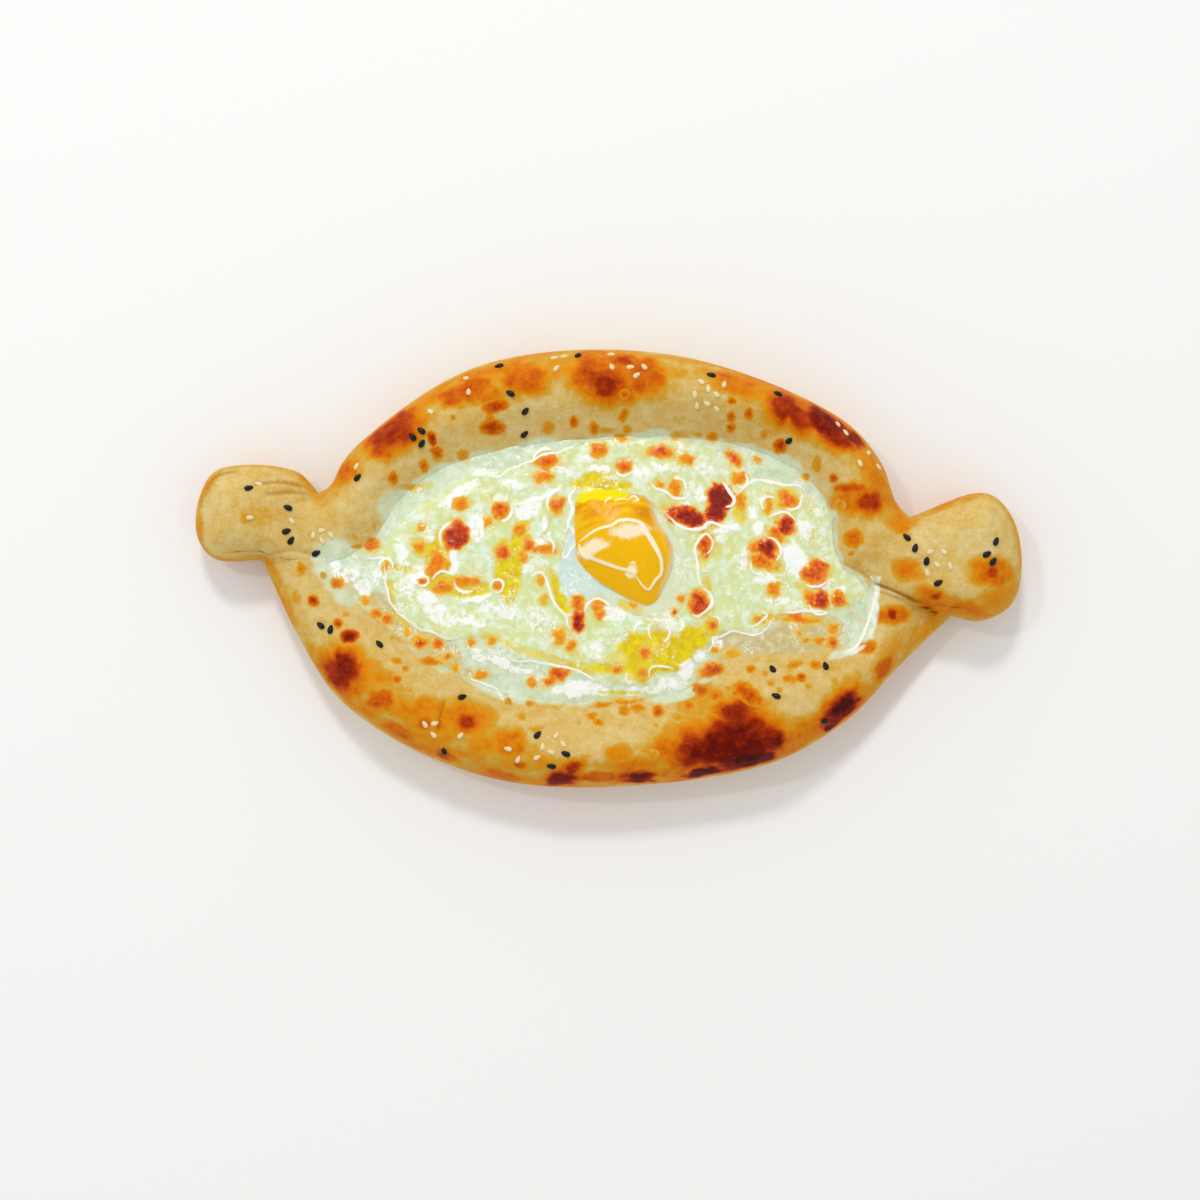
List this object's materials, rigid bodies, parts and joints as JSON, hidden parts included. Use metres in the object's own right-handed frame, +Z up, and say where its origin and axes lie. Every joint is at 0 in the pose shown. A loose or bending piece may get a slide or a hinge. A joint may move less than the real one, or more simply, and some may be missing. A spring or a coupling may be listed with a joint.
{
  "type": "khachapuri",
  "caption": "Boat-shaped cheese bread with rolled edges pinched into a knob at each end, filled with melted cheese and a soft egg, strewn with sesame.",
  "frame": {"origin": "on the flat underside, in the middle of the bread's footprint", "axes": "+X along the boat from the slimmer knob to the larger one, +Y towards the edge that is rolled over both knobs, +Z up"},
  "size_m": [0.2898, 0.1542, 0.0313],
  "materials": {
    "crust": "baked dough, cream to golden, with orange-brown and dark brown scorched patches, satin from butter",
    "cheese": "melted white cheese under a wet glossy film, with browned blisters and yellow butter pools",
    "egg_white": "barely set egg white, wet and glossy",
    "yolk": "soft yolk, wet and glossy, with a wrinkled skin towards one end"
  },
  "bodies": {
    "root": {"bread": "crust", "cheese": "cheese", "egg_white": "egg_white", "yolk": "yolk"}
  },
  "joints": []
}
